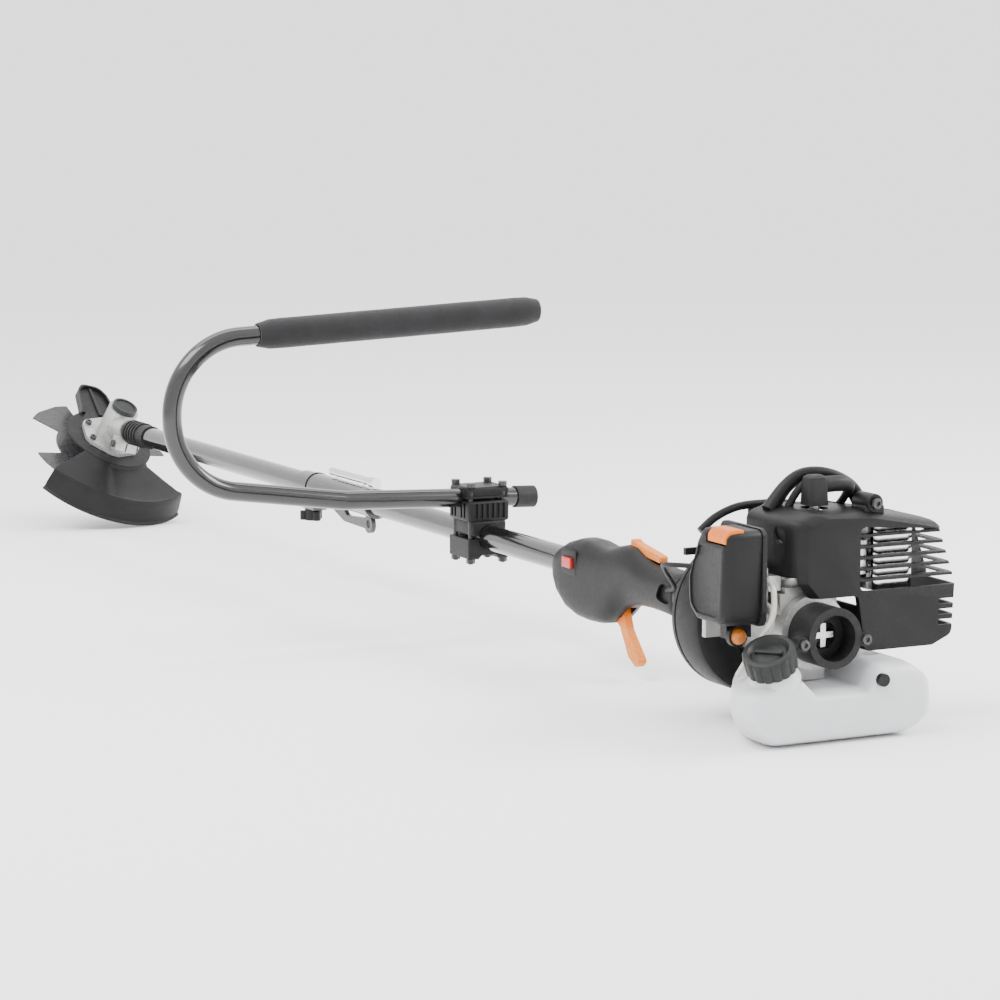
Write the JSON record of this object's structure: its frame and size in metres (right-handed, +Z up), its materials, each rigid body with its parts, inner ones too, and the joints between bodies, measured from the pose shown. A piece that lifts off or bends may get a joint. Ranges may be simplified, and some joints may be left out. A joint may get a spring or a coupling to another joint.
{
  "type": "brush cutter",
  "caption": "Petrol brush cutter: long two-piece shaft, J-shaped side handle with foam grip, toothed blade under a guard, rear engine with white tank.",
  "frame": {"origin": "centre of the bounding box, on the floor plane that the fuel tank and the blade guard stand on", "axes": "+X runs back from the gearbox to the engine, +Y is the operator's right, +Z is up; the shaft rises 1.2 degrees towards the gearbox"},
  "size_m": [1.864, 0.4804, 0.3405],
  "materials": {
    "cast_aluminium": "sand-cast satin",
    "black_plastic": "moulded, lightly textured",
    "dark_grey_plastic": "moulded satin",
    "black_gloss_tube": "gloss powder coat",
    "black_rubber": "matt",
    "dark_foam": "closed-cell foam",
    "filter_foam": "open foam",
    "bright_steel": "ground",
    "black_steel": "satin black",
    "chrome_steel": "polished",
    "light_alloy": "machined",
    "orange_plastic": "moulded gloss",
    "red_plastic": "moulded gloss",
    "amber_rubber": "translucent bulb",
    "white_tank": "translucent blow-moulded",
    "clear_hose": "clear hose"
  },
  "bodies": {
    "tool": {"blade_guard": "black_plastic", "carburettor": "cast_aluminium", "clamp_base": "black_plastic", "clamp_bolts": "black_steel", "clamp_cap": "black_plastic", "clamp_saddle": "black_plastic", "clutch_housing": "dark_grey_plastic", "coupler_sleeve": "black_steel", "crankcase": "cast_aluminium", "cylinder": "cast_aluminium", "engine_bearings": "bright_steel", "engine_cover": "black_plastic", "fan_housing": "black_plastic", "filter_base": "black_plastic", "filter_element": "filter_foam", "fuel_lines": "clear_hose", "fuel_tank": "white_tank", "gear_housing": "cast_aluminium", "gearbox_bolts": "black_steel", "grip_shell_left": "black_plastic", "grip_shell_right": "black_plastic", "harness_hanger": "black_steel", "harness_rail": "chrome_steel", "head_bearings": "bright_steel", "housing_plug": "dark_grey_plastic", "housing_screws": "black_steel", "ignition_coil": "black_steel", "ignition_lead": "black_rubber", "lower_tube": "black_gloss_tube", "muffler": "chrome_steel", "shaft_collar": "black_rubber", "spark_plug": "bright_steel", "start_port": "black_plastic", "tank_vent": "black_plastic", "throttle_cable": "black_rubber", "tube_bushings": "black_plastic", "upper_tube": "black_gloss_tube"},
    "blade_spindle": {"output_spindle": "bright_steel", "blade_washers": "bright_steel", "cutting_blade": "black_steel", "blade_nut": "bright_steel"},
    "drive_line": {"bevel_pinion": "bright_steel", "drive_shaft": "bright_steel", "clutch_drum": "light_alloy"},
    "crank": {"crankshaft": "bright_steel", "flywheel": "light_alloy", "clutch_shoes": "light_alloy"},
    "piston": {"piston": "light_alloy"},
    "j_handle": {"handle_tube": "black_gloss_tube", "foam_grip": "dark_foam", "handle_end_cap": "black_rubber"},
    "trigger": {"throttle_trigger": "orange_plastic"},
    "lockout": {"throttle_lockout": "orange_plastic"},
    "switch": {"stop_switch": "red_plastic"},
    "knob": {"coupler_knob": "black_plastic"},
    "cap": {"fuel_cap": "dark_grey_plastic"},
    "primer": {"primer_bulb": "amber_rubber"},
    "choke": {"choke_lever": "black_plastic"},
    "filter_cover": {"filter_cover": "black_plastic"},
    "latch": {"cover_latch": "orange_plastic"}
  },
  "joints": [
    {"name": "blade_spin", "type": "hinge", "parent": "tool", "child": "blade_spindle", "pos_m": [-0.81883, 0.10024, 0.12334], "axis": [0.5178, 0.2387, 0.8215], "continuous": true},
    {"name": "drive_line_spin", "type": "hinge", "parent": "tool", "child": "drive_line", "pos_m": [-0.11899, 0.10024, 0.10827], "axis": [0.9998, 0, -0.0215], "continuous": true},
    {"name": "crank_spin", "type": "hinge", "parent": "tool", "child": "crank", "pos_m": [0.83579, 0.10024, 0.08771], "axis": [0.9998, 0, -0.0215], "continuous": true},
    {"name": "piston_stroke", "type": "slide", "parent": "tool", "child": "piston", "axis": [0.0215, 0, 0.9998], "range_m": [-0.026, 0]},
    {"name": "handle_tilt", "type": "hinge", "parent": "tool", "child": "j_handle", "pos_m": [0.24374, 0.10024, 0.13833], "axis": [-0.0009, 0.9992, -0.0408], "range_deg": [-25, 25]},
    {"name": "trigger_pull", "type": "hinge", "parent": "tool", "child": "trigger", "pos_m": [0.5381, 0.10024, 0.05911], "axis": [0, -1, 0], "range_deg": [0, 15], "stiffness_Nm_per_rad": 0.3},
    {"name": "lockout_press", "type": "hinge", "parent": "tool", "child": "lockout", "pos_m": [0.56728, 0.10024, 0.11349], "axis": [0, 1, 0], "range_deg": [0, 8], "stiffness_Nm_per_rad": 0.3},
    {"name": "switch_rock", "type": "hinge", "parent": "tool", "child": "switch", "pos_m": [0.47198, 0.08224, 0.10054], "axis": [0.0215, 0, 0.9998], "range_deg": [-5, 5], "stiffness_Nm_per_rad": 0.1},
    {"name": "knob_turn", "type": "hinge", "parent": "tool", "child": "knob", "pos_m": [-0.1798, 0.10024, 0.07157], "axis": [0.0215, 0, 0.9998], "range_deg": [-180, 180]},
    {"name": "fuel_cap_turn", "type": "hinge", "parent": "tool", "child": "cap", "pos_m": [0.91072, 0.03124, 0.08369], "axis": [0.3077, -0.3985, 0.864], "range_deg": [-170, 170]},
    {"name": "primer_press", "type": "slide", "parent": "tool", "child": "primer", "axis": [-0.9998, 0, 0.0215], "range_m": [0, 0.003], "stiffness_N_per_m": 400},
    {"name": "choke_turn", "type": "hinge", "parent": "tool", "child": "choke", "pos_m": [0.81021, 0.03224, 0.15427], "axis": [0.9998, 0, -0.0215], "range_deg": [0, 45]},
    {"name": "cover_pull", "type": "slide", "parent": "tool", "child": "filter_cover", "axis": [0, -1, 0], "range_m": [0, 0.045]},
    {"name": "latch_open", "type": "hinge", "parent": "filter_cover", "child": "latch", "pos_m": [0.84691, 0.01064, 0.16788], "axis": [0.9998, 0, -0.0215], "range_deg": [0, 40]}
  ],
  "couplings": [
    {"joint": "drive_line_spin", "follows": "blade_spin", "ratio": -1.2667}
  ]
}
